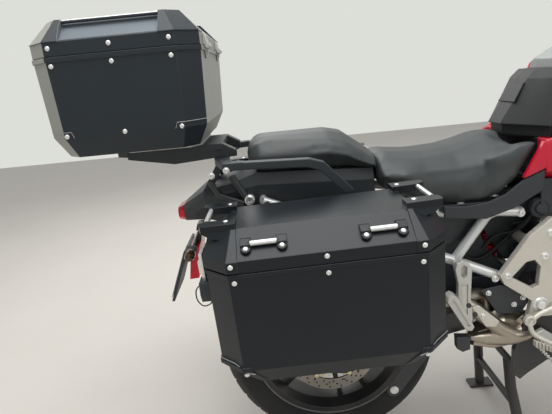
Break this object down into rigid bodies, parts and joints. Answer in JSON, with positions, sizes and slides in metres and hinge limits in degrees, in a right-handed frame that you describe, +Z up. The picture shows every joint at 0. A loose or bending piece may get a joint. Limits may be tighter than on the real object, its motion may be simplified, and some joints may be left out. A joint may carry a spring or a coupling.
{
  "type": "adventure motorcycle",
  "caption": "Adventure motorcycle on its centre stand, with hard aluminium side cases and a top case, turning wheels, steering, folding stands and opening case lids.",
  "frame": {"origin": "on the ground under the middle of the motorcycle's overall box", "axes": "+X forward, +Y to the rider's left, +Z up"},
  "size_m": [2.5149, 0.935, 1.445],
  "materials": {
    "black_plastic": "matt",
    "case_black": "satin",
    "chain_steel": "satin",
    "champagne_casting": "satin",
    "disc_steel": "satin",
    "engine_casting": "satin",
    "exhaust_steel": "satin",
    "fork_black": "satin",
    "fork_chrome": "polished",
    "frame_paint": "satin",
    "lamp_glass": "clear",
    "plate_aluminium": "satin",
    "rack_black": "matt",
    "red_lens": "gloss",
    "red_paint": "gloss",
    "red_spring": "gloss",
    "screen": "clear",
    "seat_cover": "grained",
    "silver_casting": "satin",
    "silver_tube": "satin",
    "stand_black": "satin",
    "tyre": "matt",
    "wheel_black": "satin"
  },
  "bodies": {
    "motorcycle": {"main_frame": "frame_paint", "pivot_plates": "champagne_casting", "subframe": "silver_tube", "engine": "engine_casting", "exhaust_pipes": "exhaust_steel", "collector_box": "exhaust_steel", "silencer": "exhaust_steel", "radiator": "engine_casting", "bash_plate": "plate_aluminium", "fuel_tank": "red_paint", "tank_cover": "black_plastic", "side_panels": "black_plastic", "side_fairings": "red_paint", "front_cowl": "black_plastic", "headlamp": "lamp_glass", "windscreen": "screen", "rider_seat": "seat_cover", "passenger_seat": "seat_cover", "grab_rails": "black_plastic", "tail_cowl": "black_plastic", "tail_light": "red_lens", "plate_holder": "black_plastic", "case_rack": "rack_black", "rack_plate": "silver_casting", "instrument": "black_plastic", "top_case_shell": "case_black", "pannier_shells": "case_black", "pannier_rack": "stand_black", "peg_hangers": "silver_casting", "foot_pegs": "silver_casting", "swingarm": "wheel_black", "shock": "red_spring", "rear_mudguard": "black_plastic", "rear_caliper": "fork_black", "drive_chain": "chain_steel"},
    "rear_wheel": {"rear_rim": "wheel_black", "rear_tyre": "tyre", "rear_disc": "disc_steel", "rear_sprocket": "disc_steel"},
    "steering": {"fork_sliders": "fork_chrome", "fork_tubes": "fork_black", "handlebar": "fork_black", "bar_controls": "black_plastic", "front_mudguard": "black_plastic", "front_calipers": "fork_black"},
    "front_wheel": {"front_rim": "wheel_black", "front_tyre": "tyre", "front_discs": "disc_steel"},
    "centre_stand": {"centre_stand": "stand_black"},
    "side_stand": {"side_stand": "stand_black"},
    "top_case_lid": {"top_case_lid": "case_black"},
    "pannier_lid_left": {"pannier_lid_left": "case_black"},
    "pannier_lid_right": {"pannier_lid_right": "case_black"}
  },
  "joints": [
    {"name": "steering", "type": "hinge", "parent": "motorcycle", "child": "steering", "pos_m": [0.60717, 0, 0.94], "axis": [-0.4147, 0, 0.91], "range_deg": [-36, 36]},
    {"name": "front_wheel", "type": "hinge", "parent": "steering", "child": "front_wheel", "pos_m": [0.9325, 0, 0.325], "axis": [0, 1, 0], "continuous": true},
    {"name": "rear_wheel", "type": "hinge", "parent": "motorcycle", "child": "rear_wheel", "pos_m": [-0.6295, 0, 0.338], "axis": [0, 1, 0], "continuous": true},
    {"name": "centre_stand", "type": "hinge", "parent": "motorcycle", "child": "centre_stand", "pos_m": [-0.1245, 0, 0.268], "axis": [0, 1, 0], "range_deg": [0, 92]},
    {"name": "side_stand", "type": "hinge", "parent": "motorcycle", "child": "side_stand", "pos_m": [-0.0295, 0.172, 0.316], "axis": [0, -1, 0], "range_deg": [0, 100]},
    {"name": "top_case_lid", "type": "hinge", "parent": "motorcycle", "child": "top_case_lid", "pos_m": [-0.8685, 0, 1.196], "axis": [0, 1, 0], "range_deg": [0, 80]},
    {"name": "pannier_lid_left", "type": "hinge", "parent": "motorcycle", "child": "pannier_lid_left", "pos_m": [-0.41057, 0.35, 0.77006], "axis": [0, 1, 0], "range_deg": [0, 75]},
    {"name": "pannier_lid_right", "type": "hinge", "parent": "motorcycle", "child": "pannier_lid_right", "pos_m": [-0.41057, -0.35, 0.77006], "axis": [0, 1, 0], "range_deg": [0, 75]}
  ]
}
